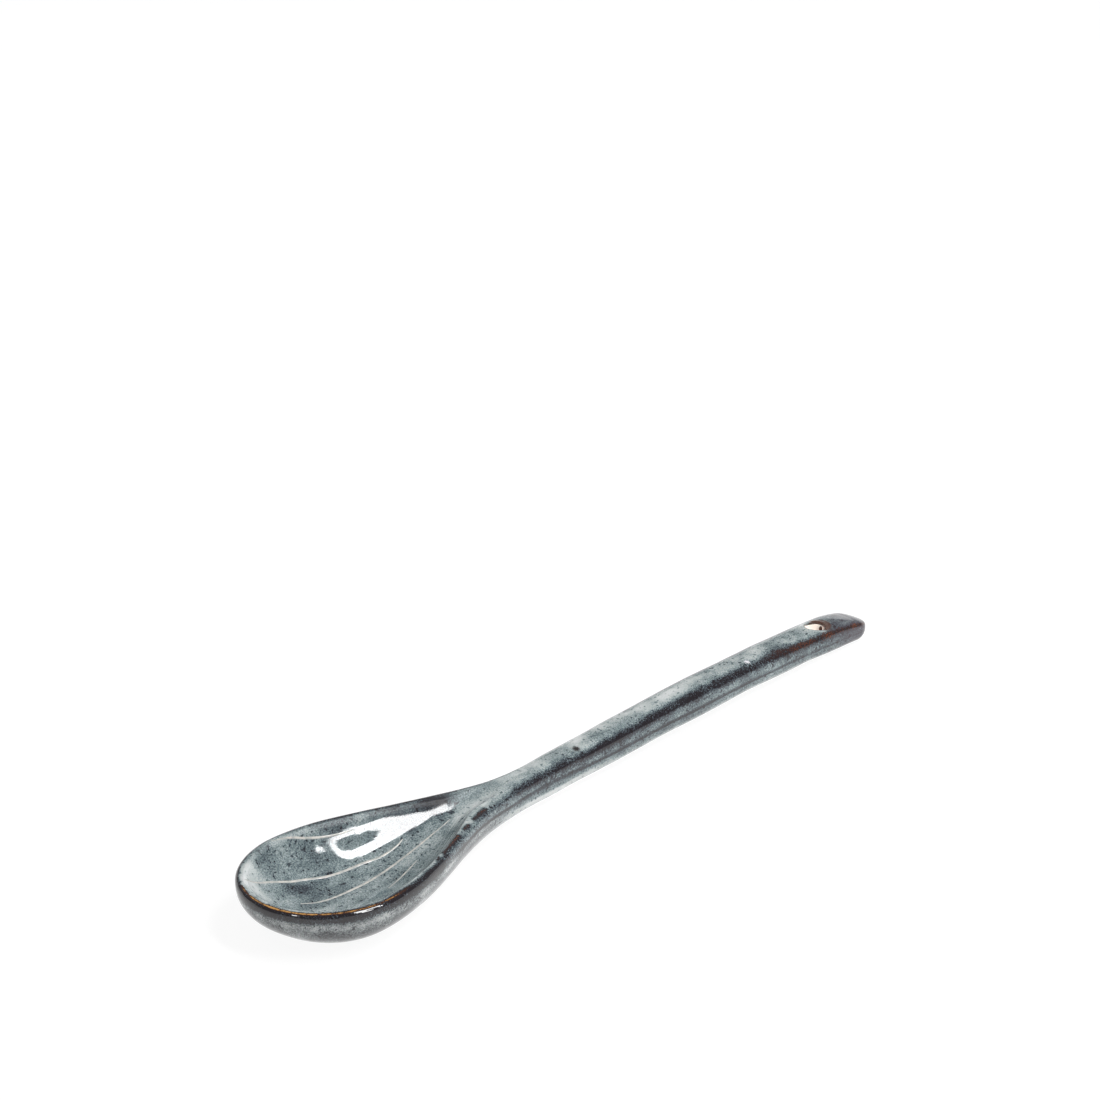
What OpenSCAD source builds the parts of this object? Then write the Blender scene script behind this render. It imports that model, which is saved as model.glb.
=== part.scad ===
// Stoneware teaspoon: one clay body under a fired glaze that breaks brown along every edge.
// Units are millimetres. +Z is up, the bowl's tip points to -X and the handle's end to +X.
// The spoon lies on its bowl and on the end of its handle, with the origin at the middle of the floor.

/* [Overall] */
// Length from the tip of the bowl to the end of the handle
overall_length = 141; // [120:1:160]
// Height of the bowl's rim above the table
rim_height = 8.7; // [7.5:0.1:11]

/* [Bowl] */
// Width of the bowl at its widest
bowl_width = 26.6; // [22:0.2:32]
// Distance from the tip to the widest place
nose_length = 14.4; // [11:0.2:18]
// Distance from the tip to the place where the bowl's bottom starts to rise
bottom_length = 22; // [19:0.5:28]
// Distance from the tip to the place where the underside has risen to the handle
rise_length = 50.5; // [44:0.5:56]
// Distance from the tip to the end of the hollow
hollow_length = 53; // [46:0.5:57]
// Thickness of clay and glaze under the deepest place
floor_thickness = 2.6; // [2.2:0.1:3.4]
// Width of the rim from its outer edge to the start of the hollow
rim_width = 1.5; // [1.3:0.1:2.6]
// How much wider it gets on the shoulders, before the neck
shoulder_rim = 1.6; // [0.8:0.1:2]
// Height of the rim's rounding on the outside
rim_round = 1.1; // [0.8:0.1:1.6]
// Width of that rounding
rim_roll = 1.1; // [0.8:0.1:1.3]
// How flat the bowl's bottom is ground where it stands
stand_flat = 0.1; // [0.05:0.05:0.2]

/* [Handle] */
// Distance from the tip to the narrowest place
neck_distance = 59; // [57:0.5:66]
// Width of the handle at the neck
neck_width = 5.6; // [4.6:0.1:7]
// Width of the handle at its end
end_width = 6.9; // [6.6:0.1:9]
// Height of the handle's top at the neck
neck_top = 7.4; // [6.8:0.1:8.4]
// Clear height under the neck
neck_lift = 1.9; // [1:0.1:2.4]
// Height that the handle's top would have at its end without the fall
end_top = 4.65; // [4.2:0.05:5.5]
// How far the top falls away there
end_fall = 1.85; // [1:0.05:2]
// Length of that fall
fall_length = 10.2; // [8:0.2:12]
// Length of the rounding at the handle's end
end_round = 3.6; // [2.5:0.1:5]

/* [Hanging hole] */
// Diameter of the hole through the clay
hole_diameter = 3.4; // [2.6:0.1:4]
// Distance from the handle's end to the middle of the hole
hole_inset = 11.8; // [9:0.1:14]
// Width of the brown glaze collar round each mouth
collar_width = 0.5; // [0.35:0.05:0.8]
// Width of bare clay left between the hole and its collar
bare_width = 0.2; // [0.1:0.05:0.3]

/* [Glaze] */
// Thickness of the fired glaze
glaze = 0.5; // [0.3:0.05:0.6]
// Width of the brown band on the face side of the rim
edge_band = 1.5; // [1:0.1:2]
// Turn of the section, in degrees, that the band covers on the outside of the rim
edge_turn = 7; // [5:0.5:12]
// Width of a pale line
line_width = 0.7; // [0.5:0.05:1]
// Height of a pale line above the glaze
line_height = 0.15; // [0.1:0.01:0.2]

/* [Hidden] */
// Steps along one side: nose, shoulder, handle, end
nose_steps = 14;
shoulder_steps = 14;
handle_steps = 12;
end_steps = 6;
// Steps across the section: face, edge above, edge below, back
face_steps = 8;
edge_up_steps = 4;
edge_down_steps = 2;
back_steps = 8;
half = nose_steps + shoulder_steps + handle_steps + end_steps;
around = 2 * half;
feet = shoulder_steps + handle_steps + 1;
row_edge = face_steps;
row_side = face_steps + edge_up_steps;
row_back = row_side + edge_down_steps;
rows = row_back + back_steps;
end_start = overall_length - end_round;
hole_x = overall_length / 2 - hole_inset;
hole_radius = hole_diameter / 2;
bowl_depth = rim_height - floor_thickness;
// Squareness of the handle's section, where 2 is an ellipse
handle_power = 2.8;

// Plain helpers
function mix(a, b, t) = a + (b - a) * t;
function limit(t) = min(1, max(0, t));
function ease(t) = let (q = limit(t)) q * q * (3 - 2 * q);
function unit(v) = v / norm(v);

// Plan outline: u runs 0 to 4 from the tip to the handle's end, one unit for each stretch
function handle_half(s) = mix(neck_width, end_width, limit((s - neck_distance) / (overall_length - neck_distance))) / 2;
function shoulder_s(t) = mix(nose_length, neck_distance,
    3 * 0.31 * t * pow(1 - t, 2) + 3 * 0.58 * t * t * (1 - t) + pow(t, 3));
function rim_s(u) =
    u < 1 ? nose_length * (1 - cos(90 * u)) :
    u < 2 ? shoulder_s(u - 1) :
    u < 3 ? mix(neck_distance, end_start, u - 2) :
    end_start + end_round * sin(90 * (u - 3));
function rim_y(u) =
    u < 1 ? bowl_width / 2 * sin(90 * u) :
    u < 2 ? mix(bowl_width / 2, neck_width / 2, ease(u - 1)) :
    u < 3 ? handle_half(rim_s(u)) :
    handle_half(end_start) * cos(90 * (u - 3));
function foot_s(u) = min(end_start, max(nose_length, rim_s(u)));

// Side profile: top line, underside and depth of the hollow at a distance s from the tip
function past_neck(s) = limit((s - neck_distance) / (end_start - neck_distance));
function before_neck(s) = limit((s - nose_length) / (neck_distance - nose_length));
function top_z(s) = s < neck_distance
    ? mix(rim_height, neck_top, ease(before_neck(s)))
    : mix(neck_top, end_top, pow(past_neck(s), 3.3));
function under_z(s) = s < neck_distance
    ? neck_lift * ease((s - bottom_length) / (rise_length - bottom_length))
    : mix(neck_lift, stand_flat, pow(past_neck(s), 3.8));
function hollow(s) = bowl_depth * (1 - ease((s - bottom_length) / (hollow_length - bottom_length)));
function neckness(s) = ease((s - neck_distance + 20) / 20);

// One section at u: its roundings and the place where the rim is crowned
function reach(u) = norm([rim_s(u) - foot_s(u), rim_y(u)]);
function side_drop(s) = mix(rim_round, (top_z(s) - under_z(s)) / 2, neckness(s));
function side_z(s) = top_z(s) - side_drop(s);
function face_power(s) = mix(8, handle_power, neckness(s));
function back_power(u) = mix(u < 1 ? mix(2, 2.4, pow(sin(90 * u), 2)) : 2.4, handle_power, neckness(foot_s(u)));
function rim_at(u) = rim_width + shoulder_rim * ease((rim_s(u) - neck_distance + 27) / 15);
function crown(u) = 1 - rim_at(u) / max(reach(u), 2 * rim_at(u));
function face_end(u) = 1 - edge_band / (reach(u) + 3);
// The collar stays inside the pool of glaze on the face
hole_u = 2 + (overall_length - hole_inset - neck_distance) / (end_start - neck_distance);
collar_room = face_end(hole_u) * rim_y(hole_u) - 0.1;
collar_radius = min(hole_radius + bare_width + collar_width, collar_room);

// Heights at the fraction c of the way from the middle line to the outline: the bowl has a rolled lip
// and a wall that is steepest under it, and the handle is rounded over its whole width
function lip_drop(u, c) = rim_round * (1 - sqrt(1 - pow(1 - limit((1 - c) * reach(u) / rim_roll), 2)));
function end_drop(u, c) = end_fall * pow(limit((mix(foot_s(u), rim_s(u), c) - overall_length) / fall_length + 1), 2);
function handle_drop(u, c) = let (s = foot_s(u), full = pow(max(0, 1 - pow(c, handle_power)), 1 / handle_power))
    mix((top_z(s) - under_z(s)) / 2, end_drop(u, c), full);
function wall_share(u, c) = let (t = 1 - pow(c / crown(u), 2.8)) (t + sqrt(t * t + 0.006)) / 2;
function face_z(u, c) = let (s = foot_s(u))
    top_z(s) - mix(lip_drop(u, c), handle_drop(u, c), neckness(s)) - hollow(s) * wall_share(u, c);
function at(u, side, c, z) = [mix(foot_s(u), rim_s(u), c) - overall_length / 2, side * c * rim_y(u), z];
function face_point(u, side, c) = at(u, side, c, face_z(u, c));
function edge_point(u, side, t) = let (n = face_power(foot_s(u)), a = acos(pow(face_end(u), n / 2)) * (1 - t))
    face_point(u, side, pow(cos(a), 2 / n));
function back_point(u, side, a) = let (s = foot_s(u), n = back_power(u))
    at(u, side, a == 90 ? 0 : pow(cos(a), 2 / n),
       side_z(s) - (side_z(s) - under_z(s)) * pow(sin(a), 2 / n));

// Points of the whole skin: k runs round the outline, j from the middle of the face to the middle of the back
function step_u(h) =
    h < nose_steps ? h / nose_steps :
    h < nose_steps + shoulder_steps ? 1 + (h - nose_steps) / shoulder_steps :
    h < half - end_steps ? 2 + (h - nose_steps - shoulder_steps) / handle_steps :
    3 + (h - half + end_steps) / end_steps;
function side_step(k) = k <= half ? k : around - k;
function skin_point(k, j) = let (u = step_u(side_step(k)), side = k <= half ? -1 : 1)
    j <= row_edge ? face_point(u, side, face_end(u) * j / face_steps) :
    j <= row_side ? edge_point(u, side, (j - row_edge) / edge_up_steps) :
    j <= row_back ? back_point(u, side, edge_turn * (j - row_side) / edge_down_steps) :
    back_point(u, side, mix(edge_turn, 90, (j - row_back) / back_steps));
skin = [for (j = [0:rows]) [for (k = [0:around - 1]) skin_point(k, j)]];

// Directions square to the skin, so that the clay lies one glaze thickness under it
function foot_index(k) = min(feet - 1, max(0, side_step(k) - nose_steps));
function foot_step(m) = m + nose_steps;
function across(k, j) = let (a = skin[j][(k + 1) % around] - skin[j][(k + around - 1) % around])
    unit(cross(skin[j + 1][k] - skin[j - 1][k], a));
function along(m, j, inner) = let (k = foot_step(m))
    (m == feet - 1 ? skin[inner][half] : skin[j][k + 1]) - (m == 0 ? skin[inner][0] : skin[j][k - 1]);
function middle(m, j, inner) = let (k = foot_step(m), y = skin[inner][around - k] - skin[inner][k])
    j == 0 ? unit(cross(along(m, j, inner), y)) : unit(cross(y, along(m, j, inner)));
function square(k, j) =
    j == 0 ? middle(foot_index(k), 0, 1) :
    j == rows ? middle(foot_index(k), rows, rows - 1) :
    across(k, j);
under = [for (j = [0:rows]) [for (k = [0:around - 1]) skin[j][k] - glaze * square(k, j)]];

// Rows of points from j0 to j1, with one point for each foot on the two middle lines
function is_middle(j) = j == 0 || j == rows;
function flat_rows(grid, j0, j1) = [for (j = [j0:j1])
    for (k = is_middle(j) ? [nose_steps:half - end_steps] : [0:around - 1]) grid[j][k]];
function row_start(j, j0) = (j - j0) * around - ((j0 == 0 && j > 0) ? around - feet : 0);
function index(k, j, j0) = row_start(j, j0) + (is_middle(j) ? foot_index(k % around) : k % around);
function patch(j0, j1, base, flip) = [for (j = [j0:j1 - 1]) for (k = [0:around - 1])
    let (a = base + index(k, j, j0), b = base + index(k + 1, j, j0),
         c = base + index(k + 1, j + 1, j0), d = base + index(k, j + 1, j0))
    each concat(a == b ? [] : [flip ? [a, c, b] : [a, b, c]], c == d ? [] : [flip ? [a, d, c] : [a, c, d]])];
function wall(j, j0, base, flip) = [for (k = [0:around - 1])
    let (a = index(k, j, j0), b = index(k + 1, j, j0))
    each flip ? [[a, base + b, b], [a, base + a, base + b]] : [[a, b, base + b], [a, base + b, base + a]]];

// A coat of glaze between two rows
module coat(j0, j1) {
    outer = flat_rows(skin, j0, j1);
    inner = flat_rows(under, j0, j1);
    base = len(outer);
    low_wall = j0 == 0 ? [] : wall(j0, j0, base, true);
    high_wall = j1 == rows ? [] : wall(j1, j0, base, false);
    polyhedron(concat(outer, inner),
        concat(patch(j0, j1, 0, false), patch(j0, j1, base, true), low_wall, high_wall));
}

// Ground cut under the bowl, and round cuts at the hanging hole
module below_stand() {
    translate([-overall_length, -overall_length, -20])
        cube([2 * overall_length, 2 * overall_length, 20 + stand_flat]);
}
module round_cut(r) {
    translate([hole_x, 0, -20])
        cylinder(h = 60, r = r, $fn = 64);
}
module lowered() {
    translate([0, 0, -stand_flat])
        children();
}

// Pale line on the floor of the bowl: a low bead bent through three places in plan,
// each given as a share of the way to the neck and a share of the bowl's half width
function line_spot(p0, p1, p2, t) = mix(mix(p0, p1, t), mix(p1, p2, t), t);
function shoulder_u(s, low, high, tries) = let (u = (low + high) / 2)
    tries == 0 ? u : rim_s(u) < s ? shoulder_u(s, u, high, tries - 1) : shoulder_u(s, low, u, tries - 1);
function line_place(q) =
    let (s = q[0] * neck_distance, ahead = 1 - s / nose_length,
         u = ahead > 0 ? atan2(abs(q[1]), ahead) / 90 : shoulder_u(s, 1, 2, 20),
         c = ahead > 0 ? norm([ahead, q[1]]) : abs(q[1]) * bowl_width / 2 / rim_y(u))
    [s - overall_length / 2, q[1] * bowl_width / 2, face_z(u, min(c, 0.9))];
function line_frame(p0, p1, p2, t) =
    let (o = line_place(line_spot(p0, p1, p2, t)),
         f = line_place(line_spot(p0, p1, p2, min(1, t + 0.02))) - line_place(line_spot(p0, p1, p2, max(0, t - 0.02))),
         y = unit(cross([0, 0, 1], f)), w = line_width / 2 * (0.25 + 0.75 * sin(180 * t)))
    [o - w * y, o + [0, 0, line_height], o + w * y, o - [0, 0, line_height]];
module line(p0, p1, p2) {
    n = 16;
    spots = [for (i = [0:n]) line_frame(p0, p1, p2, i / n)];
    sides = [for (i = [0:n - 1]) for (e = [0:3])
        let (a = 4 * i + e, b = 4 * i + (e + 1) % 4)
        each [[a, a + 4, b + 4], [a, b + 4, b]]];
    polyhedron([for (row = spots) each row], concat(sides, [[0, 1, 2], [0, 2, 3]],
        [[4 * n + 2, 4 * n + 1, 4 * n], [4 * n + 3, 4 * n + 2, 4 * n]]));
}

module clay_body() {
    color([0.80, 0.70, 0.60])
        lowered()
            difference() {
                polyhedron(flat_rows(under, 0, rows), patch(0, rows, 0, false));
                round_cut(hole_radius);
            }
}
module face_glaze() {
    color([0.50, 0.57, 0.58])
        lowered()
            difference() {
                coat(0, row_edge);
                round_cut(collar_radius);
            }
}
module back_glaze() {
    color([0.62, 0.66, 0.66])
        lowered()
            difference() {
                coat(row_back, rows);
                round_cut(collar_radius);
                below_stand();
            }
}
module edge_glaze() {
    color([0.24, 0.16, 0.12])
        lowered()
            coat(row_edge, row_back);
}
module hole_ring() {
    color([0.34, 0.19, 0.10])
        lowered()
            for (rows_used = [[0, row_edge], [row_back, rows]])
                difference() {
                    intersection() {
                        coat(rows_used[0], rows_used[1]);
                        round_cut(collar_radius);
                    }
                    round_cut(hole_radius + bare_width);
                }
}
module bowl_lines() {
    color([0.86, 0.83, 0.74])
        lowered() {
            line([0.26, 0.86], [0.33, 0.80], [0.47, 0.60]);
            line([0.09, 0.55], [0.26, 0.53], [0.57, 0.24]);
            line([0.19, 0.24], [0.30, -0.09], [0.69, 0.02]);
            line([0.40, -0.24], [0.45, -0.20], [0.53, -0.14]);
        }
}

clay_body();
face_glaze();
back_glaze();
edge_glaze();
hole_ring();
bowl_lines();
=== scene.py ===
from math import acos, cos, degrees, exp, hypot, pi, radians, sin, sqrt

import bmesh
import bpy
from mathutils import Matrix, Vector, noise
from mathutils.bvhtree import BVHTree


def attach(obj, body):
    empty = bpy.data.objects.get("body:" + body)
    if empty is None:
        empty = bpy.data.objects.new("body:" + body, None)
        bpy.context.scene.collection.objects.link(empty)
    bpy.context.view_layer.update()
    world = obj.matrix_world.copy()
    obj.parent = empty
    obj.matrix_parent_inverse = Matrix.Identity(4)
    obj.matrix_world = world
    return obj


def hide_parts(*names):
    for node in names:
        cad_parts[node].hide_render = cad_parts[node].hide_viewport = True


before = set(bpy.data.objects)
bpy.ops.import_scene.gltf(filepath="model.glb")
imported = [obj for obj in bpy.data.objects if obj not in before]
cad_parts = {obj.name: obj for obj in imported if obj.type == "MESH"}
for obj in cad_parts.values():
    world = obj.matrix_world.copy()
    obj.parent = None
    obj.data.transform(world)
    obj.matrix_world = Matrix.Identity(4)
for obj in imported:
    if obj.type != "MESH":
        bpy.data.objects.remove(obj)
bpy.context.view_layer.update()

# Camera
# A long lens looks down on the spoon from beyond the tip of its bowl, as in the photograph.
# The spoon lies low in a square picture, and nothing is out of focus.
camera_turn, camera_tilt, camera_away = radians(-48.81), radians(25.5), 0.7
toward = Vector((sin(camera_turn) * cos(camera_tilt), -cos(camera_turn) * cos(camera_tilt), sin(camera_tilt)))
sideways = Vector((cos(camera_turn), sin(camera_turn), 0))
upward = toward.cross(sideways)
lens = bpy.data.cameras.new("camera")
lens.lens, lens.sensor_width = 147.7, 36
camera = bpy.data.objects.new("camera", lens)
bpy.context.scene.collection.objects.link(camera)
spoon_middle, shift_left, shift_up = Vector((-0.0005, 0, 0.005)), 0.00434, 0.03187
camera_place = spoon_middle - shift_left * sideways + shift_up * upward + camera_away * toward
camera.matrix_world = Matrix.Translation(camera_place) @ Matrix((sideways, upward, toward)).transposed().to_4x4()
bpy.context.scene.camera = camera

# Clay body
# The spoon itself: one piece of pale stoneware, pressed to shape and finished by hand, with a hole for hanging.
# It is hidden under the glaze, and its bare clay shows only in the hole. All sizes are in millimetres.
overall_length, rim_height, bowl_width = 141, 8.7, 26.6
nose_length, bottom_length, rise_length, hollow_length = 14.4, 22, 50.5, 53
floor_thickness, rim_width, shoulder_rim, rim_round, rim_roll, stand_flat = 2.6, 1.5, 1.6, 1.1, 1.1, 0.1
neck_distance, neck_width, neck_top, neck_lift, neck_blend = 59, 5.6, 7.4, 1.9, 20
shoulder_start, shoulder_blend, shoulder_pull, neck_pull = 27, 15, 0.93, 1.74
end_width, end_top, end_fall, fall_length, end_round = 6.9, 4.65, 1.85, 10.2, 3.6
end_start = overall_length - end_round
hole_distance, hole_radius, collar_radius = overall_length - 11.8, 1.7, 2.4
glaze_thickness, edge_band, edge_ease, edge_turn = 0.5, 1.5, 3, 7
# How full the roundings are, where 2 is an ellipse and more is squarer, and how late the long lines fall
nose_power, bowl_power, rim_power, wall_power, handle_power, end_power = 2, 2.4, 8, 2.8, 2.8, 2.2
top_fall, under_fall, dome_fall, hollow_blend = 3.3, 3.8, 3.2, 0.001


def mix(a, b, t):
    return a + (b - a) * t


def limit(t):
    return min(1, max(0, t))


def ease(t):
    q = limit(t)
    return q * q * (3 - 2 * q)


def bump(x, middle, spread):
    return exp(-(((x - middle) / spread) ** 2))


def handle_half(s):
    return mix(neck_width, end_width, limit((s - neck_distance) / (overall_length - neck_distance))) / 2


# The outline from above: u runs 0 to 4 from the tip to the end, with s the distance from the tip
def rim_s(u):
    if u < 1:
        return nose_length * (1 - cos(radians(90 * u)))
    if u < 2:
        t = u - 1
        pull = shoulder_pull * t * (1 - t) ** 2 + neck_pull * t * t * (1 - t)
        return mix(nose_length, neck_distance, pull + t**3)
    if u < 3:
        return mix(neck_distance, end_start, u - 2)
    return end_start + end_round * sin(radians(90 * (u - 3)))


def rim_y(u):
    if u < 1:
        return bowl_width / 2 * sin(radians(90 * u))
    if u < 2:
        return mix(bowl_width, neck_width, ease(u - 1)) / 2
    if u < 3:
        return handle_half(rim_s(u))
    return handle_half(end_start) * max(0, cos(radians(90 * (u - 3))))


def foot_s(u):
    return min(end_start, max(nose_length, rim_s(u)))


# The side view: the line along the top, the underside and the depth of the hollow
def past_neck(s):
    return limit((s - neck_distance) / (end_start - neck_distance))


def top_z(s):
    if s < neck_distance:
        return mix(rim_height, neck_top, ease((s - nose_length) / (neck_distance - nose_length)))
    return mix(neck_top, end_top, past_neck(s) ** top_fall)


def under_z(s):
    if s < neck_distance:
        return neck_lift * ease((s - bottom_length) / (rise_length - bottom_length))
    return mix(neck_lift, stand_flat, past_neck(s) ** under_fall)


def hollow(s):
    return (rim_height - floor_thickness) * (1 - ease((s - bottom_length) / (hollow_length - bottom_length)))


def neckness(s):
    return ease((s - neck_distance + neck_blend) / neck_blend)


def side_drop(s):
    return mix(rim_round, (top_z(s) - under_z(s)) / 2, neckness(s))


def face_power(s):
    return mix(rim_power, handle_power, neckness(s))


def back_power(u):
    bowl = mix(nose_power, bowl_power, sin(radians(90 * u)) ** 2) if u < 1 else bowl_power
    handle = mix(handle_power, end_power, ease(u - 2.9))
    return mix(bowl, handle, neckness(foot_s(u)))


def reach(u):
    return hypot(rim_s(u) - foot_s(u), rim_y(u))


def rim_at(s):
    return rim_width + shoulder_rim * ease((s - neck_distance + shoulder_start) / shoulder_blend)


def face_end(u):
    return 1 - edge_band / (reach(u) + edge_ease)


# One place on the skin, at the share c of the way from the middle line to the outline
def spot(u, side, c, z):
    x = mix(foot_s(u), rim_s(u), c) - overall_length / 2
    return Vector((x, side * c * rim_y(u), max(0, z - stand_flat))) / 1000


def face_spot(u, side, c):
    s = foot_s(u)
    rolled = 1 - limit((1 - c) * reach(u) / rim_roll)
    lip = rim_round * (1 - (1 - rolled**wall_power) ** (1 / wall_power))
    end_drop = end_fall * limit((mix(s, rim_s(u), c) - overall_length) / fall_length + 1) ** dome_fall
    shoulder = mix((top_z(s) - under_z(s)) / 2, end_drop, max(0, 1 - c**handle_power) ** (1 / handle_power))
    wide = rim_at(s)
    wall = 1 - (c / (1 - wide / max(reach(u), 2 * wide))) ** wall_power
    dip = hollow(s) * (wall + sqrt(wall * wall + hollow_blend)) / 2
    return spot(u, side, c, top_z(s) - mix(lip, shoulder, neckness(s)) - dip)


def back_spot(u, side, angle):
    s, n = foot_s(u), back_power(u)
    side_z = top_z(s) - side_drop(s)
    c = max(0, cos(radians(angle))) ** (2 / n)
    return spot(u, side, c, side_z - (side_z - under_z(s)) * sin(radians(angle)) ** (2 / n))


# The steps round the outline crowd together beside the hole, whose edge they draw
nose_count, side_count, handle_count, hole_count, last_count, end_count = 56, 130, 154, 36, 9, 26
one_side = [i / nose_count for i in range(nose_count)] + [1 + i / side_count for i in range(side_count)]
hole_turns = [radians(180 * i / hole_count) for i in range(hole_count + 1)]
hole_steps = [hole_distance - collar_radius * cos(turn) for turn in hole_turns]
handle_steps = [mix(neck_distance, hole_steps[0], i / handle_count) for i in range(handle_count)]
handle_steps += hole_steps + [mix(hole_steps[-1], end_start, i / last_count) for i in range(1, last_count)]
one_side += [2 + past_neck(s) for s in handle_steps] + [3 + i / end_count for i in range(end_count + 1)]
columns = [(u, -1) for u in one_side] + [(u, 1) for u in reversed(one_side[:-1])]
face_rows, edge_rows, turn_rows, back_rows = 44, 14, 4, 40

# How dark the glaze fires: 0 is milky white where it lies thick, 1 is iron black where it ran thin. Under the handle
# the pale tones are partly painted reflection of the white floor.
near_tone, far_tone, far_wall_tone, far_shoulder_tone, outside_tone = 0.42, 0.47, 0.68, 0.57, 0.6
handle_top_tone, droop_tone, side_tone, milky_and_floor_lit_under_tone, neck_under_painted_reflection_tone = 0.3, 0.36, 0.55, 0.28, 0.02
end_face_tone, end_back_tone, rim_tone, band_tone, line_tone = 0.55, 0.66, 1.08, 1.03, 1.02

# Rust dashes on the near shoulder, by distance from the tip and half their length, and soft blots on the face,
# by distance from the tip and across: milky ones above 0, iron-dark ones below
dashes = [(27.4, 0.4), (32, 2.8), (37.8, 0.7), (42.4, 1.9)]
blots = [
    (4.5, 6.5, 2.4, 3, 1), (10, 4.3, 3.2, 1.4, 0.55), (7.3, 9.2, 2, 1.6, 0.5), (7, -3, 3.5, 4, 0.4),
    (12, 11, 3.5, 1.2, -0.5), (15.5, 5.2, 2.8, 0.9, -0.6), (19, 5.8, 2.2, 0.8, -0.5), (21, 8.5, 3, 1.3, -0.35),
    (30, 0.8, 3, 2, 0.3), (42, 3, 1.6, 0.8, -0.6), (36, -3, 4, 1.4, -0.45), (25, -2, 4, 1.5, -0.25),
    (39.5, 4.2, 3.5, 1.3, -0.7), (29, 8.4, 2.5, 1.2, 0.4), (13.3, 6.4, 1.6, 1, -0.8),
    (58.8, 0.6, 3, 1.2, 0.6), (70.4, 0.9, 2.4, 1.1, 0.9), (75.5, 1, 2.2, 1, 1), (82.6, 0.9, 3, 1, 0.6),
    (91, 1, 2.6, 1, 0.5), (98.8, 1, 3, 1.1, 0.6), (108, 1, 2.6, 1, 0.4),
]
blot_strength = 0.36


def milkiness(s, y):
    """How much the blots lighten the glaze at a place on the face."""
    return sum(
        blot_strength * amount * bump(s, blot_s, wide) * bump(y, blot_y, high)
        for blot_s, blot_y, wide, high, amount in blots
    )


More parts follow.
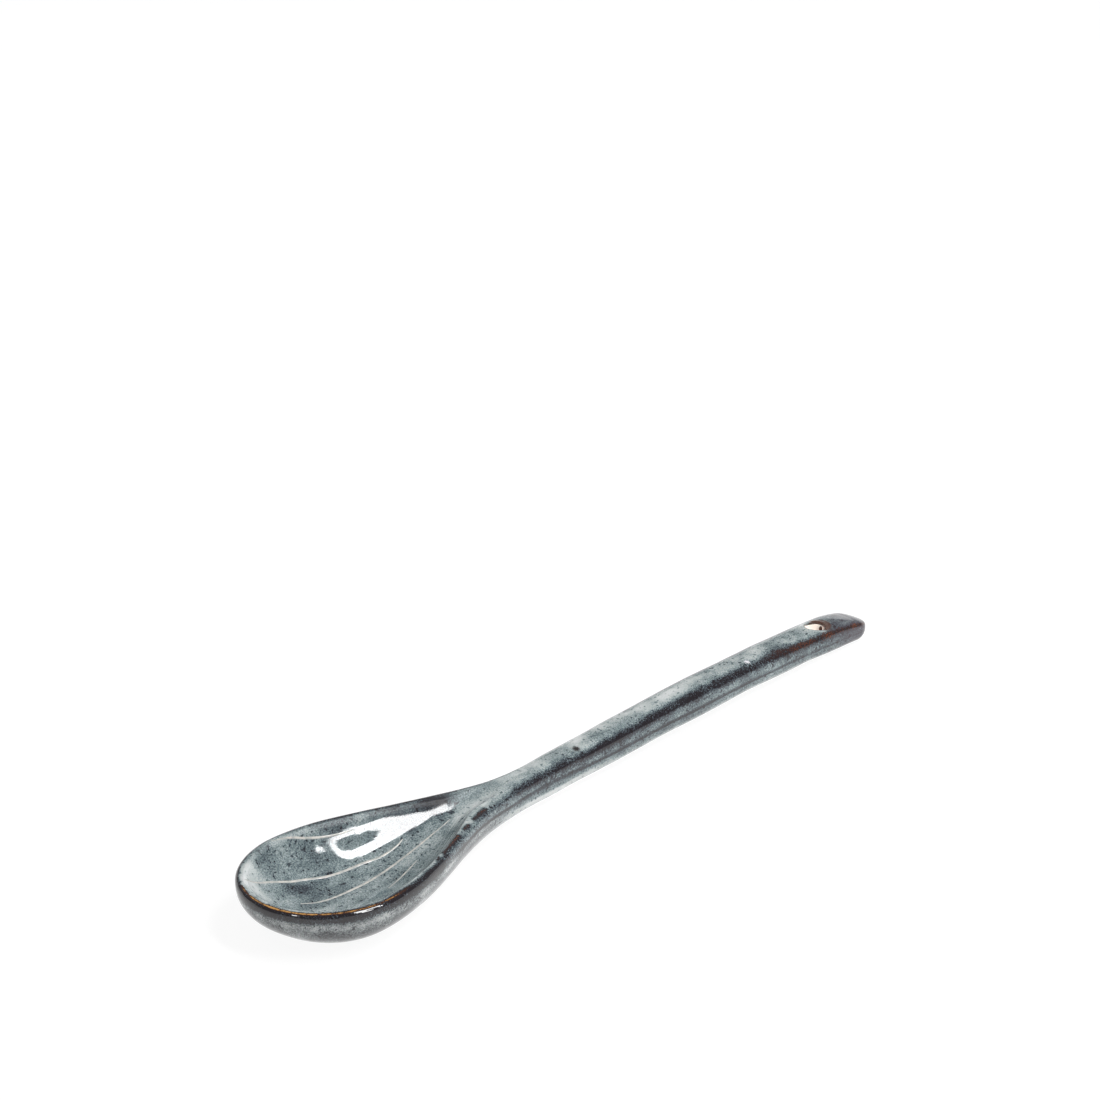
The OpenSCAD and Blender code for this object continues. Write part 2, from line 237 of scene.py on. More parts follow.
skin = bmesh.new()
row_count = face_rows + edge_rows + turn_rows + back_rows
bmesh.ops.create_grid(skin, x_segments=len(columns) - 1, y_segments=row_count, size=1)
zone = skin.faces.layers.int.new("zone")
layer_names = ("tone", "drift", "burn", "dash", "gold", "outer", "combed", "inset", "run", "dull", "calm")
tone, drift, burn, dash, gold, outer, combed, inset, run, dull, calm = (
    skin.verts.layers.float.new(layer_name) for layer_name in layer_names
)
lie = skin.verts.layers.float_vector.new("lie")
for face in skin.faces:
    row = (face.calc_center_median().y + 1) / 2 * row_count
    face[zone] = 0 if row < face_rows else 1 if row < face_rows + edge_rows + turn_rows else 2
    face.smooth = True
for vert in skin.verts:
    u, side = columns[round((vert.co.x + 1) / 2 * (len(columns) - 1))]
    row = round((vert.co.y + 1) / 2 * row_count)
    s = rim_s(u)
    off_hole = abs(s - hole_distance)
    open_c = sqrt(max(0, collar_radius**2 - off_hole**2)) / rim_y(u) if off_hole < collar_radius and 2 < u < 3 else 0
    n = face_power(foot_s(u))
    if row <= face_rows:
        c = mix(open_c, face_end(u), 1 - (1 - row / face_rows) ** 1.6)
        vert.co = face_spot(u, side, c)
        angle = degrees(acos(min(1, c ** (n / 2))))
    elif row <= face_rows + edge_rows:
        angle = degrees(acos(face_end(u) ** (n / 2))) * (1 - (row - face_rows) / edge_rows)
        c = cos(radians(angle)) ** (2 / n)
        vert.co = face_spot(u, side, c)
    elif row <= face_rows + edge_rows + turn_rows:
        angle = -edge_turn * (row - face_rows - edge_rows) / turn_rows
        vert.co = back_spot(u, side, -angle)
        c = 1
    else:
        last = degrees(acos(min(1, open_c ** (back_power(u) / 2))))
        angle = -mix(edge_turn, last, (row - face_rows - edge_rows - turn_rows) / back_rows)
        vert.co = back_spot(u, side, -angle)
        c = cos(radians(angle))
    # The tone here, as on the bowl and as on the handle, which blend at the neck
    narrow, near, on_face = neckness(foot_s(u)), side < 0, angle > 0
    at_s, at_y = 1000 * vert.co.x + overall_length / 2, 1000 * vert.co.y
    inward = (1 - c) * reach(u) if on_face else 0
    deep, at_end = ease((s - 14) / 14), ease((s - 122) / 12)
    rim_left = 1 - 0.75 * ease((s - 26) / 8) * near
    if on_face:
        if near:
            dark_width, fade = mix(mix(1.2, 1.5, ease(s / 7)), 1.2, deep), 0.9
            bowl_tone = near_tone
        else:
            dark_width, fade = mix(0.9, 1.6, deep), mix(0.7, 1.3, deep)
            wall_tone = mix(far_wall_tone, far_shoulder_tone, ease((s - 31) / 8))
            bowl_tone = mix(far_tone, wall_tone, deep * ease((6 - inward) / 4))
        milky = milkiness(at_s, at_y)
        bowl_tone -= 0.18 * bump(inward, dark_width + 0.7, 0.7) * (1 if near else ease((14 - s) / 8))
        bowl_tone -= 0.22 * bump(at_y, 0, 2.2) * ease((s - 36) / 12)
        bowl_tone -= milky
        on_rim = ease((dark_width - inward) / fade) * rim_left
        # A dark band follows the near and far crests of the handle
        crest = mix(44, 37, ease((s - 116) / 10)) - 10 * bump(s, 72, 11) - 5 * ease((s - 130) / 5)
        spread = mix(22, 14, at_end) if angle > crest else 20
        band = bump(angle, crest, spread) * mix(0.8, 1, ease((s - 62) / 14))
        top_tone = mix(handle_top_tone, droop_tone, ease((s - 100) / 14)) - milky
        top_tone = mix(top_tone, end_face_tone, at_end)
        handle_tone = top_tone + (band_tone - top_tone) * band + mix(0.22, 0.14, at_end) * ease((44 - angle) / 14)
    else:
        on_rim, band = (1 - ease((0.5 - angle) / 3.4)) * rim_left, 0
        bowl_tone = outside_tone - 0.2 * bump(angle, -7, 4)
        # Under the neck the tone is painted near white: a painted reflection of the white floor on the underside
        below_neck_painted_reflection = ease((-6 - angle) / 12) * (1 - ease((s - 62) / 20))
        # Toward the underside the handle is painted paler: partly milky glaze, partly painted reflection and bounce
        # light from the white floor
        handle_tone = mix(side_tone, milky_and_floor_lit_under_tone, ease((-12 - angle) / 22))
        handle_tone = mix(mix(handle_tone, neck_under_painted_reflection_tone, below_neck_painted_reflection), end_back_tone, at_end)
    bowl_tone = mix(bowl_tone, rim_tone, on_rim)
    # A thin dark line runs along the widest edge, from the shoulder to the handle's end, and rises a little at the neck
    lifted = bump(s, 60, 8)
    line = bump(angle, -1.5 + 7 * lifted, mix(1.3, 2.1, narrow) + 2.2 * lifted)
    line *= ease((s - 28) / 10) * mix(1, 0.6, ease((s - 110) / 20))
    bowl_tone, handle_tone = mix(bowl_tone, line_tone, line), mix(handle_tone, line_tone, 0.9 * line)
    vert[tone], vert[burn] = mix(bowl_tone, handle_tone, narrow), mix(on_rim, band, narrow)
    # Where the tone drifts in clouds or stays calm, and where it burns to rust dashes and amber
    top_drift = ease((angle - 50) / 24) * (1 - ease((s - 104) / 10))
    vert[drift] = mix(0.6, max(0.4 * (angle < 20), top_drift), narrow)
    vert[calm] = mix(0.35 if on_face else 0.1, max(0.55 * ease((26 - angle) / 10), 0.5 * band), narrow)
    stretch = max(1 - ease((abs(s - dash_s) - half) / 0.6) for dash_s, half in dashes)
    vert[dash] = bump(inward, 1.15, 0.45) * stretch if near and on_face else 0
    amber_left = ease((25 - s) / 16) if near else ease((3 - s) / 2.5)
    vert[gold] = bump(inward, 0.65, 0.24) * amber_left if on_face else 0
    vert[outer] = ease((4 - angle) / 8) * (1 - narrow)
    # Brush marks that follow the wall, on the near side of the neck and round the tip
    side_marks = bump(inward, 3.6, 1.8) * ease((s - 28) / 8) * (1 - ease((s - 40) / 7)) * near
    vert[combed] = max(side_marks, bump(inward, 2.6, 1.2) * ease((11 - s) / 6) * (near or s < 2)) if on_face else 0
    vert[inset], vert[run] = inward, 25 * u
    # The crest of the far shoulder is duller, so the lamp shows in the bowl only once
    far_crest = max(bump(inward, rim_at(s), 0.35), ease((s - 41) / 4)) * (1 - ease((s - 56) / 4))
    vert[dull] = 0 if near or not on_face else far_crest
bmesh.ops.remove_doubles(skin, verts=skin.verts, dist=1e-6)
bmesh.ops.recalc_face_normals(skin, faces=skin.faces)
skin.normal_update()


# Pressed and smoothed by hand, so no surface is quite even, but the standing places stay flat
bowl_wave, handle_wave, dimple, flat_height = 0.09, 0.17, 0.045, 1.2


def unevenness(place):
    p = 1000 * place
    on_handle = ease((p.x + 25) / 20)
    slow = noise.noise(p / 11 + Vector((3, 7, 1)))
    quick = noise.noise(p / 4.5 + Vector((9, 2, 5)))
    return (mix(bowl_wave, handle_wave, on_handle) * slow + dimple * quick) * ease(p.z / flat_height)


for vert in skin.verts:
    vert.co += unevenness(vert.co) * vert.normal / 1000
skin.normal_update()
for vert in skin.verts:
    vert[lie] = vert.normal


def spoon_piece(name, bm, shown=None):
    """A piece from a finished mesh. Its shown faces take the lie of the whole skin, so no seam shows between zones."""
    mesh = bpy.data.meshes.new(name)
    if shown is not None:
        on_show = bm.faces.layers.int.new("on_show")
        for f in bm.faces:
            f[on_show] = f in shown
    bm.to_mesh(mesh)
    if shown is not None:
        lies = [tuple(d.vector) for d in mesh.attributes["lie"].data]
        seen = [d.value for d in mesh.attributes["on_show"].data]
        normals = []
        for p in mesh.polygons:
            for i in p.loop_indices:
                normals.append(lies[mesh.loops[i].vertex_index] if seen[p.index] else tuple(p.normal))
        mesh.normals_split_custom_set(normals)
    piece = bpy.data.objects.new(name, mesh)
    bpy.context.scene.collection.objects.link(piece)
    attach(piece, "root")
    return piece


mouth_split, mouth_radius, mouth_round = 0.0025, 2.1, 0.1
clay = skin.copy()
lie_of_clay = clay.verts.layers.float_vector["lie"]
mouths = [[], []]
for edge in clay.edges:
    if edge.is_boundary:
        mouths[0 if edge.verts[0].co.z > mouth_split else 1].append(edge)
for vert in clay.verts:
    vert.co -= vert[lie_of_clay] * glaze_thickness / 1000
hole_x = hole_distance / 1000 - overall_length / 2000
bore = []
for mouth, up in zip(mouths, (1, -1)):
    for radius, rise in ((mouth_radius, 0), (hole_radius, mouth_round)):
        mouth = [e for e in bmesh.ops.extrude_edge_only(clay, edges=mouth)["geom"] if isinstance(e, bmesh.types.BMEdge)]
        mouth = [e for e in mouth if e.is_boundary]
        for vert in {v for e in mouth for v in e.verts}:
            arm = Vector((vert.co.x - hole_x, vert.co.y, 0)).normalized() * radius / 1000
            vert.co = Vector((hole_x + arm.x, arm.y, vert.co.z + up * rise / 1000))
    bore += mouth
bmesh.ops.bridge_loops(clay, edges=bore)
bmesh.ops.recalc_face_normals(clay, faces=clay.faces)
for face in clay.faces:
    face.smooth = True
clay_body = spoon_piece("clay", clay)
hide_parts("clay_body")


def paint(r, g, b):
    """A colour as it looks on a screen, 0 to 255, as light."""
    return tuple(((c / 255 + 0.055) / 1.055) ** 2.4 if c > 10 else c / 3294.6 for c in (r, g, b)) + (1,)


class Finish:
    """A material whose pattern is put together from a few plain steps, in millimetres on the object."""

    def __init__(self, name):
        self.material = bpy.data.materials.new(name)
        self.material.use_nodes = True
        self.tree = self.material.node_tree
        self.shader = self.tree.nodes["Principled BSDF"]
        where = self.tree.nodes.new("ShaderNodeTexCoord").outputs["Object"]
        self.place = self.step("ShaderNodeVectorMath", "SCALE", where, Scale=1000).outputs[0]

    def step(self, kind, operation=None, *inputs, **named):
        node = self.tree.nodes.new(kind)
        if operation:
            node.operation = operation
        for socket, value in list(zip(node.inputs, inputs)) + [(node.inputs[k], v) for k, v in named.items()]:
            if isinstance(value, bpy.types.NodeSocket):
                self.tree.links.new(value, socket)
            else:
                socket.default_value = value
        return node

    def plus(self, a, b):
        return self.step("ShaderNodeMath", "ADD", a, b).outputs[0]

    def times(self, a, b):
        return self.step("ShaderNodeMath", "MULTIPLY", a, b).outputs[0]

    def most(self, a, b):
        return self.step("ShaderNodeMath", "MAXIMUM", a, b).outputs[0]

    def rise(self, value, low, high, to_low=0.0, to_high=1.0):
        node = self.step("ShaderNodeMapRange", None, value, low, high, to_low, to_high)
        node.interpolation_type = "SMOOTHSTEP"
        return node.outputs[0]

    def blend(self, share, a, b):
        node = self.tree.nodes.new("ShaderNodeMix")
        node.data_type = "RGBA"
        for socket, value in zip((node.inputs[0], node.inputs[6], node.inputs[7]), (share, a, b)):
            if isinstance(value, bpy.types.NodeSocket):
                self.tree.links.new(value, socket)
            else:
                socket.default_value = value
        return node.outputs[2]

    def cloud(self, scale, detail=2.0, rough=0.5, stretch=(1, 1, 1), offset=(0, 0, 0)):
        place = self.step("ShaderNodeMapping", None, self.place, offset, (0, 0, 0), stretch).outputs[0]
        return self.step("ShaderNodeTexNoise", Vector=place, Scale=scale, Detail=detail, Roughness=rough).outputs[0]

    def layer(self, name):
        node = self.tree.nodes.new("ShaderNodeAttribute")
        node.attribute_name = name
        return node.outputs["Fac"]

    def ramp(self, value, *stops):
        node = self.step("ShaderNodeValToRGB", None, value)
        elements = node.color_ramp.elements
        while len(elements) < len(stops):
            elements.new(0.5)
        for element, (place, colour) in zip(elements, stops):
            element.position, element.color = place, paint(*colour)
        return node.outputs[0]

    def relief(self, height, distance, strength):
        node = self.step("ShaderNodeBump", None, Strength=strength, Distance=distance, Height=height)
        self.tree.links.new(node.outputs[0], self.shader.inputs["Normal"])

    def set(self, **values):
        for name, value in values.items():
            socket = self.shader.inputs[name.replace("_", " ")]
            if isinstance(value, bpy.types.NodeSocket):
                self.tree.links.new(value, socket)
            else:
                socket.default_value = value


bare = Finish("bare_stoneware")
grit = bare.cloud(6, 3, 0.6)
warm = bare.cloud(0.9, 2)
body_colour = bare.blend(warm, paint(252, 244, 238), paint(246, 228, 214))
body_colour = bare.blend(bare.rise(grit, 0.62, 0.72, 0, 0.5), body_colour, paint(176, 132, 104))
bare.set(Base_Color=body_colour, Roughness=bare.rise(grit, 0.3, 0.7, 0.6, 0.8))
bare.relief(grit, 0.00004, 0.5)
clay_body.data.materials.append(bare.material)


# Face glaze
# The pool of blue-grey glaze on the face of the spoon, poured over the clay and fired to a gloss.
# It is speckled with iron, milky where it lies thick and dark where it runs thin toward the edges.
def doubled(sheet):
    """Gives a sheet a second layer, joined to it all round, and returns that layer's corners."""
    made = bmesh.ops.extrude_face_region(
        sheet, geom=sheet.faces[:] + sheet.edges[:] + sheet.verts[:], use_keep_orig=True
    )
    return [v for v in made["geom"] if isinstance(v, bmesh.types.BMVert)]


def coat(name, which):
    """One zone of the skin, given the thickness of the fired glaze."""
    bm = skin.copy()
    zone_of = bm.faces.layers.int["zone"]
    bmesh.ops.delete(bm, geom=[f for f in bm.faces if f[zone_of] != which], context="FACES")
    lie_of = bm.verts.layers.float_vector["lie"]
    shown = set(bm.faces)
    for vert in doubled(bm):
        vert.co -= vert[lie_of] * glaze_thickness / 1000
    bmesh.ops.recalc_face_normals(bm, faces=bm.faces)
    return spoon_piece(name, bm, shown)


def fired_glaze(name):
    look = Finish(name)
    fired, drifting, thin, dashed, amber, outside, marked, from_edge, round_edge, dulled, calmed = (
        look.layer(layer_name) for layer_name in layer_names
    )
    along, _, height = look.step("ShaderNodeSeparateXYZ", None, look.place).outputs
    broad = look.plus(look.cloud(0.13, 2, 0.5), -0.5)
    patch = look.plus(look.cloud(0.36, 3, 0.55, stretch=(0.75, 1, 1)), -0.5)
    fleck = look.plus(look.cloud(4.4, 2, 0.6), -0.5)
    cloud = look.plus(look.cloud(0.19, 2, 0.5, stretch=(0.9, 1.4, 1), offset=(4, 2, 0)), -0.5)
    across_brush, along_brush = look.times(from_edge, 3), look.times(round_edge, 0.1)
    brush_place = look.step("ShaderNodeCombineXYZ", None, across_brush, along_brush).outputs[0]
    brush = look.step("ShaderNodeTexNoise", Vector=brush_place, Scale=1, Detail=1).outputs[0]
    brush = look.times(marked, look.rise(brush, 0.5, 0.6))
    # The tone drifts in clouds and patches, and is speckled with iron except where it is milky
    uneven = look.plus(look.times(broad, 0.8), look.times(patch, 1.05))
    uneven = look.times(uneven, look.step("ShaderNodeMath", "SUBTRACT", 1, calmed).outputs[0])
    drifted = look.plus(look.times(uneven, look.rise(drifting, 0, 1, 1, 0.5)), fired)
    drifted = look.plus(drifted, look.times(look.times(cloud, drifting), -0.9))
    drifted = look.plus(drifted, look.times(brush, -0.2))
    grain = look.times(fleck, look.plus(look.rise(drifted, 0.1, 0.45, 0.4, 1.0), look.times(thin, 0.9)))
    dots = look.rise(look.cloud(1.7, 0), 0.68, 0.76, 0, 0.3)
    ragged = look.plus(look.times(dashed, look.rise(fleck, -0.1, 0.05, 0.55, 0.95)), dots)
    drifted = look.plus(look.plus(drifted, grain), ragged)
    milk, pale, blue_grey, slate, iron = (214, 217, 217), (168, 177, 177), (112, 127, 130), (64, 72, 79), (25, 19, 25)
    ground = look.ramp(drifted, (0, milk), (0.27, pale), (0.5, blue_grey), (0.72, slate), (1, iron))
    # Neutral grey outside the bowl, purple at the handle's end, rust-brown in the dashes and along the end
    grey = look.step("ShaderNodeRGBToBW", None, ground).outputs[0]
    ground = look.blend(look.times(outside, 0.55), ground, grey)
    ground = look.blend(look.rise(along, 56, 68, 0, 0.45), ground, paint(92, 82, 92))
    rust = look.most(look.rise(along, 36, 64), look.rise(look.plus(dashed, fleck), 0.75, 1.1, 0, 0.85))
    burnt = look.rise(look.plus(look.most(thin, dashed), look.plus(patch, look.times(fleck, 1.5))), 0.5, 1.0)
    rust_cloud = look.rise(look.plus(fleck, look.times(patch, 0.8)), -0.04, 0.24)
    rusty = look.blend(rust_cloud, paint(40, 24, 22), paint(116, 60, 28))
    ground = look.blend(look.times(burnt, look.times(rust, 0.9)), ground, rusty)
    # Amber where the tip is thinnest
    rough_edge = look.plus(look.times(fleck, 1.2), look.times(patch, 2.5))
    thinnest = look.times(amber, look.plus(rough_edge, 1))
    ground = look.blend(look.rise(thinnest, 0.25, 0.6), ground, paint(66, 36, 22))
    ground = look.blend(look.rise(thinnest, 0.7, 1.15), ground, paint(196, 146, 80))
    # Brown round the hole, one iron spot, and a painted highlight on the handle where a small glaze bump catches the
    # lamp
    spots = [
        (hole_distance + 0.9, -0.3, 1.8, 2.2, paint(84, 48, 30), 0.85),
        (68.4, -1.0, 0.35, 0.8, paint(30, 20, 18), 0.95),
        # This white-lilac mark is a painted highlight of a small glaze bump
        (109.8, -1.5, 0.15, 0.6, paint(236, 234, 240), 0.9),
    ]
    flat_place = look.step("ShaderNodeVectorMath", "MULTIPLY", look.place, (1, 1, 0)).outputs[0]
    for spot_s, spot_y, full, none, colour, strength in spots:
        centre = (spot_s - overall_length / 2, spot_y, 0)
        away = look.step("ShaderNodeVectorMath", "DISTANCE", flat_place, centre).outputs["Value"]
        inside = look.rise(look.plus(away, look.times(fleck, 0.9)), none, full, 0, strength)
        ground = look.blend(look.times(inside, look.rise(height, 2.8, 3.2)), ground, colour)
    gloss = look.rise(patch, -0.2, 0.2, 0.04, 0.06)
    look.set(Base_Color=ground, Roughness=look.plus(look.times(dulled, 0.5), gloss), IOR=1.65)
    return look.material


face_glaze = coat("face_pool", 0)
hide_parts("face_glaze")
face_glaze.data.materials.append(fired_glaze("face_glaze_fired"))

# Edge glaze
# The same glaze where it runs thin over the rim and the corners of the handle.
# Iron in it burns dark brown there, and amber on the tip of the bowl.
edge_glaze = coat("edge_break", 1)
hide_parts("edge_glaze")
edge_glaze.data.materials.append(fired_glaze("edge_glaze_fired"))

# Back glaze
# The coat on the outside of the bowl and the underside of the handle, dipped with the face and fused to it.
# It is ground flat where the spoon stands.
back_glaze = coat("back_coat", 2)
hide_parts("back_glaze")
back_glaze.data.materials.append(fired_glaze("back_glaze_fired"))

# Hole collars
# A rolled lip of glaze at each mouth of the hole, where it was wiped back to the clay before firing.
# It is brown toward the end of the handle, and a small dark-brown drop sits inside the bore.
collar_lap, collar_roll, collar_swell, collar_thickness = 0.03, 0.25, 0.02, 0.3
drop_turn, drop_depth, drop_width, drop_length = radians(-4), 1.2, 0.3, 0.45
over_skin = BVHTree.FromBMesh(skin)


def hole_skin(x, y, up):
    """Height of the spoon's skin beside the hole, carried over its mouth."""
    u = 2 + past_neck(1000 * x + overall_length / 2)
    c = min(1, abs(1000 * y) / rim_y(u))
    place = face_spot(u, 1, c) if up > 0 else back_spot(u, 1, degrees(acos(c ** (back_power(u) / 2))))
    return place.z + up * unevenness(place) / 1000


def gather(whole, bm):
    """Adds one finished mesh to a piece that is made of several."""
    bmesh.ops.recalc_face_normals(bm, faces=bm.faces)
    for face in bm.faces:
        face.smooth = True
    part = bpy.data.meshes.new("part")
    bm.to_mesh(part)
    whole.from_mesh(part)
    bpy.data.meshes.remove(part)


rings = bmesh.new()
for up in (1, -1):
    ring = bmesh.new()
    bmesh.ops.create_grid(ring, x_segments=96, y_segments=12, size=1)
    fired = ring.verts.layers.float.new("tone")
    for vert in ring.verts:
        turn, t = (vert.co.x + 1) * radians(180), (vert.co.y + 1) / 2
        r = mix(hole_radius + collar_swell, collar_radius + collar_lap, t) / 1000
        x, y = hole_x + r * cos(turn), r * sin(turn)
        roll = collar_roll * (1 - sqrt(1 - (1 - limit(t / 0.45)) ** 2))
        vert[fired] = mix(0.62, 0.4, ease(t / 0.5))
        swell = collar_swell * sin(radians(180 * t))
        vert.co = Vector((x, y, hole_skin(x, y, up) + up * (swell - roll) / 1000))
    bmesh.ops.remove_doubles(ring, verts=ring.verts, dist=1e-6)
    for vert in doubled(ring):
        vert.co.z -= up * collar_thickness / 1000
    if up > 0:
        drop_reach = (hole_radius - 0.1) / 1000
        drop_z = hole_skin(hole_x, 0, 1) - drop_depth / 1000
        drop_place = Vector((hole_x + drop_reach * cos(drop_turn), drop_reach * sin(drop_turn), drop_z))
        drop_shape = Matrix.Diagonal((drop_width / 1000, drop_width / 1000, drop_length / 1000, 1))
        drop = bmesh.ops.create_uvsphere(
            ring, u_segments=24, v_segments=16, radius=1, matrix=Matrix.Translation(drop_place) @ drop_shape
        )
        for vert in drop["verts"]:
            vert[fired] = 0.9
    gather(rings, ring)
hole_ring = spoon_piece("hole_collars", rings)
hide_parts("hole_ring")
hole_ring.data.materials.append(fired_glaze("collar_glaze_fired"))

# Pale lines
# Four thin strokes of cream glaze drawn on the floor of the bowl before firing.
# They have sunk almost flush and lie under the same gloss.
strokes = [
    [(14.6, 12.1), (17.8, 11.3), (20, 10.5), (24, 9.1), (28, 7.9)],
    [(3.9, 7.1), (9.9, 7.9), (15, 6.8), (19.8, 5.2), (25.3, 4.25), (28.6, 3.3), (31.6, 3.0), (33.5, 3.2)],
    [(11.3, 3.1), (14, 1.75), (17, 1.0), (20.5, 0.72), (24.5, 0.65), (32, 0.5), (40.9, 0.3)],
    [(23.4, -3.2), (26.5, -2.7), (31.2, -1.8)],
]
line_widths = (0.3, 0.52, 0.6, 0.42)
line_swell, line_sink, line_thickness = 0.06, 0.025, 0.1


def drawn(points, t):
    """A place along a smooth stroke through these points."""
    t = min(t * (len(points) - 1), len(points) - 1.000001)
    i = int(t)
    a, b = Vector(points[i]), Vector(points[i + 1])
    before = Vector(points[i - 1]) if i else 2 * a - b
    after = Vector(points[i + 2]) if i + 2 < len(points) else 2 * b - a
    f = t - i
    bend, twist = 2 * before - 5 * a + 4 * b - after, 3 * a - before - 3 * b + after
    return 0.5 * (2 * a + f * (b - before) + f * f * bend + f**3 * twist)


lines = bmesh.new()
for points, line_width in zip(strokes, line_widths):
    stroke = bmesh.new()
    bmesh.ops.create_grid(stroke, x_segments=110, y_segments=8, size=1)
    for vert in stroke.verts:
        t, w = (vert.co.x + 1) / 2, vert.co.y
        here, ahead = drawn(points, t), drawn(points, min(1, t + 0.01)) - drawn(points, max(0, t - 0.01))
        beside = Vector((-ahead.y, ahead.x)).normalized()
        half = line_width / 2 * (0.25 + 0.75 * sin(radians(180 * t)) ** 0.6)
        at = here + w * half * beside
        above = Vector((at.x / 1000 - overall_length / 2000, at.y / 1000, 0.02))
        place, normal, *_ = over_skin.ray_cast(above, Vector((0, 0, -1)))
        vert.co = place + normal * (line_swell * (1 - w * w) - line_sink) / 1000
    for vert in doubled(stroke):
        vert.co.z -= line_thickness / 1000
    gather(lines, stroke)
bowl_lines = spoon_piece("pale_lines", lines)
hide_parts("bowl_lines")
cream = Finish("line_glaze_fired")
thinness = cream.cloud(0.8, 3, 0.6)
cream_colour = cream.blend(cream.rise(thinness, 0.35, 0.65), paint(206, 202, 196), paint(170, 171, 168))
cream.set(Base_Color=cream_colour, Roughness=cream.rise(thinness, 0.3, 0.7, 0.1, 0.16), IOR=1.55)
cream.relief(thinness, 0.00002, 0.3)
bowl_lines.data.materials.append(cream.material)

# Studio
# A white floor that turns up into a low white wall all round, and soft lamps above it.
# One softbox to the right of the camera shows in the hollow of the bowl.
scene = bpy.context.scene
scene.view_settings.view_transform = "Standard"
floor_radius, floor_bend, bend_steps, floor_gap = 1.3, 0.3, 8, 0.00004
floor_glow, floor_shade, floor_white = 0.92, 0.13, 0.86
room = bmesh.new()
bmesh.ops.create_circle(room, cap_ends=True, segments=96, radius=floor_radius)
brim = room.edges[:]
for i in range(1, bend_steps + 1):
    brim = [e for e in bmesh.ops.extrude_edge_only(room, edges=brim)["geom"] if isinstance(e, bmesh.types.BMEdge)]
    brim = [e for e in brim if e.is_boundary]
    bend = radians(90 * i / bend_steps)
    for vert in {v for e in brim for v in e.verts}:
        flat = Vector((vert.co.x, vert.co.y, 0)).normalized()
        vert.co = flat * (floor_radius + floor_bend * sin(bend)) + Vector((0, 0, floor_bend * (1 - cos(bend))))
for vert in room.verts:
    vert.co.z -= floor_gap
for face in room.faces:
    face.smooth = True
room_mesh = bpy.data.meshes.new("white_floor")
room.to_mesh(room_mesh)
white_floor = bpy.data.objects.new("white_floor", room_mesh)
scene.collection.objects.link(white_floor)
paper = bpy.data.materials.new("white_paper")
paper.use_nodes = True
nodes, links = paper.node_tree.nodes, paper.node_tree.links
nodes.clear()
matt = nodes.new("ShaderNodeBsdfDiffuse")
seen_white = nodes.new("ShaderNodeEmission")
ray = nodes.new("ShaderNodeLightPath")
seen = nodes.new("ShaderNodeMath")
seen.operation = "MAXIMUM"
links.new(ray.outputs["Is Camera Ray"], seen.inputs[0])
links.new(ray.outputs["Is Glossy Ray"], seen.inputs[1])
through = nodes.new("ShaderNodeMath")
through.operation = "MAXIMUM"
links.new(seen.outputs[0], through.inputs[0])
links.new(ray.outputs["Is Transmission Ray"], through.inputs[1])
share = nodes.new("ShaderNodeMath")
share.operation = "MULTIPLY"
share.inputs[1].default_value = floor_glow
links.new(through.outputs[0], share.inputs[0])
links.new(share.outputs[0], seen_white.inputs["Strength"])
shade = nodes.new("ShaderNodeMapRange")
shade.inputs["To Min"].default_value, shade.inputs["To Max"].default_value = floor_white, floor_shade
links.new(through.outputs[0], shade.inputs["Value"])
links.new(shade.outputs[0], matt.inputs["Color"])
both = nodes.new("ShaderNodeAddShader")
links.new(matt.outputs[0], both.inputs[0])
links.new(seen_white.outputs[0], both.inputs[1])
out = nodes.new("ShaderNodeOutputMaterial")
links.new(both.outputs[0], out.inputs["Surface"])
room_mesh.materials.append(paper)

world = bpy.data.worlds.new("studio_air")
world.use_nodes = True
world.node_tree.nodes["Background"].inputs["Color"].default_value = (1, 1, 1, 1)
world.node_tree.nodes["Background"].inputs["Strength"].default_value = 0.25
scene.world = world


lamp_away, lamp_light, spot_light = 0.7, 15, 30


def lamp_stand(aim, turn, tilt, roll):
    """Where a lamp stands that is aimed at a place: across, up and away from it."""
    turn, tilt, roll = radians(turn), radians(tilt), radians(roll)
    away = Vector((sin(turn) * cos(tilt), -cos(turn) * cos(tilt), sin(tilt)))
    level = Vector((cos(turn), sin(turn), 0))
    steep = away.cross(level)
    right, top = cos(roll) * level - sin(roll) * steep, sin(roll) * level + cos(roll) * steep
    return Matrix.Translation(Vector(aim) + lamp_away * away) @ Matrix((right, top, away)).transposed().to_4x4()


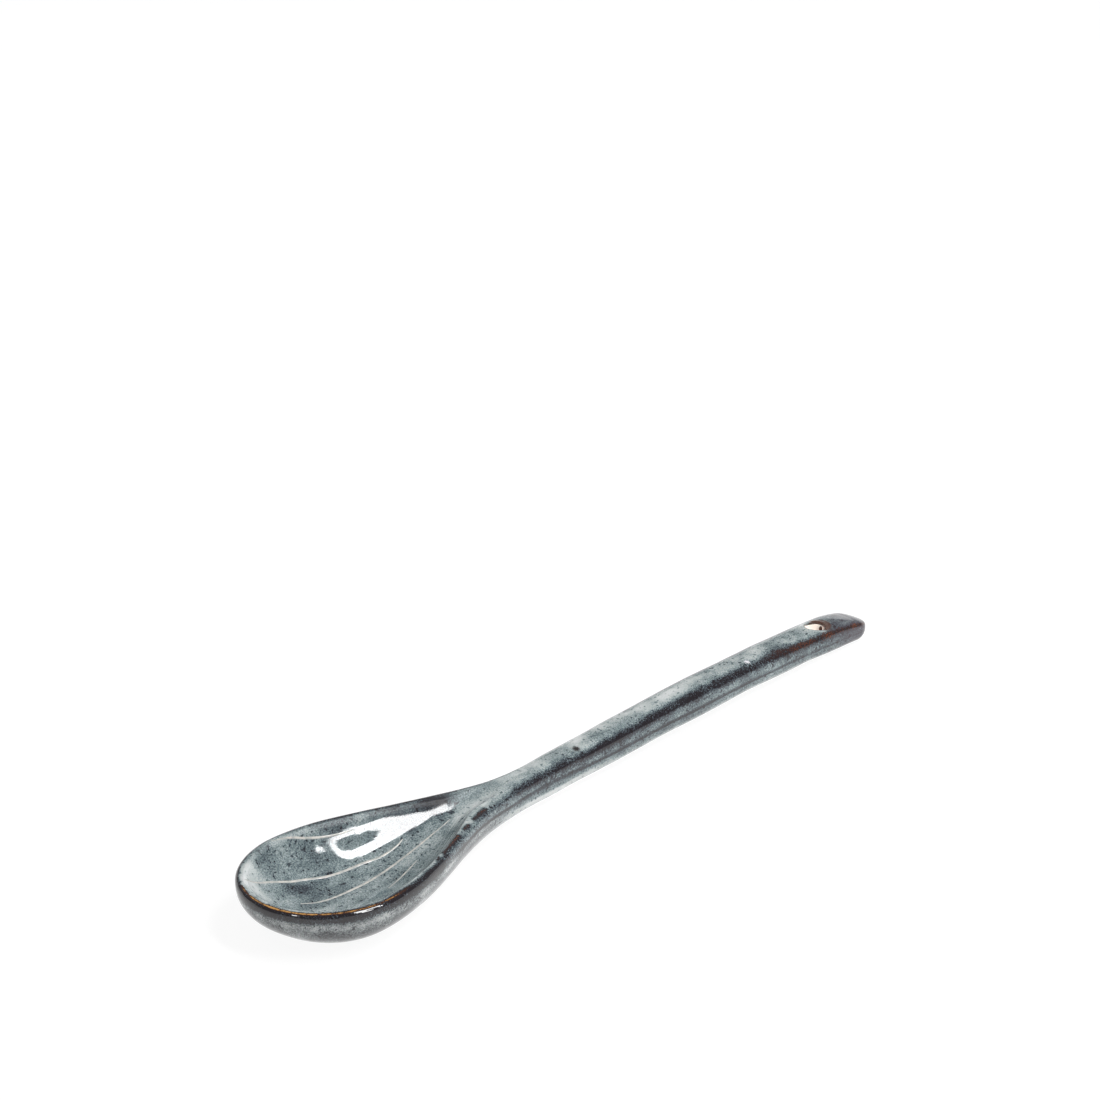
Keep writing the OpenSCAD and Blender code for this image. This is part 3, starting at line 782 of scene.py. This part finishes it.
# The main lamp stands to the right of the camera: a rounded panel with an opening, which shows in the bowl.
# Each outline is given by its middle, half width, half height, fullness and lean.
panel_edge = ((-0.0347, 0.0291, 0), 0.1376, 0.2975, 2.65, 0)
panel_opening = ((0.0133, -0.033, 0), 0.0664, 0.1196, 2.6, 5.3)
main_stand = lamp_stand((-0.04, 0.005, 0.005), 24.6, 51.05, 37.9)
panel = bmesh.new()
for middle, wide, high, power, lean in (panel_edge, panel_opening):
    for vert in bmesh.ops.create_circle(panel, segments=128, radius=1)["verts"]:
        square = (abs(vert.co.x) ** power + abs(vert.co.y) ** power) ** (-1 / power)
        vert.co = Vector((wide * square * vert.co.x, high * square * vert.co.y, 0))
        vert.co.rotate(Matrix.Rotation(radians(lean), 3, "Z"))
        vert.co += Vector(middle)
bmesh.ops.bridge_loops(panel, edges=panel.edges[:])
for face in panel.faces:
    face.normal_update()
    if face.normal.z > 0:
        face.normal_flip()
bmesh.ops.transform(panel, matrix=main_stand, verts=panel.verts[:])
panel_mesh = bpy.data.meshes.new("softbox")
panel.to_mesh(panel_mesh)
softbox = bpy.data.objects.new("softbox", panel_mesh)
scene.collection.objects.link(softbox)
softbox.visible_camera = softbox.visible_shadow = False
glow = bpy.data.materials.new("softbox_glow")
glow.use_nodes = True
nodes, links = glow.node_tree.nodes, glow.node_tree.links
nodes.clear()
front = nodes.new("ShaderNodeMapRange")
front.inputs["To Min"].default_value, front.inputs["To Max"].default_value = lamp_light, 0
links.new(nodes.new("ShaderNodeNewGeometry").outputs["Backfacing"], front.inputs["Value"])
shine = nodes.new("ShaderNodeEmission")
links.new(front.outputs[0], shine.inputs["Strength"])
links.new(shine.outputs[0], nodes.new("ShaderNodeOutputMaterial").inputs["Surface"])
panel_mesh.materials.append(glow)

# A slim lamp beside it gives the small spot of light in the bowl, and one on the left lights the rim at the tip
for name, stand, across, up, wide, high, light in (
    ("slim_lamp", main_stand, 0.1275, -0.01, 0.007, 0.1, spot_light),
    ("tip_lamp", lamp_stand((-0.067, -0.004, 0.008), -94, 59, 0), 0, 0, 0.06, 0.12, lamp_light),
):
    data = bpy.data.lights.new(name, "AREA")
    data.shape, data.size, data.size_y = "ELLIPSE", wide, high
    data.energy = light * pi**2 * wide * high / 4
    lamp = bpy.data.objects.new(name, data)
    scene.collection.objects.link(lamp)
    lamp.matrix_world = stand @ Matrix.Translation((across, up, 0))
    lamp.visible_camera = False
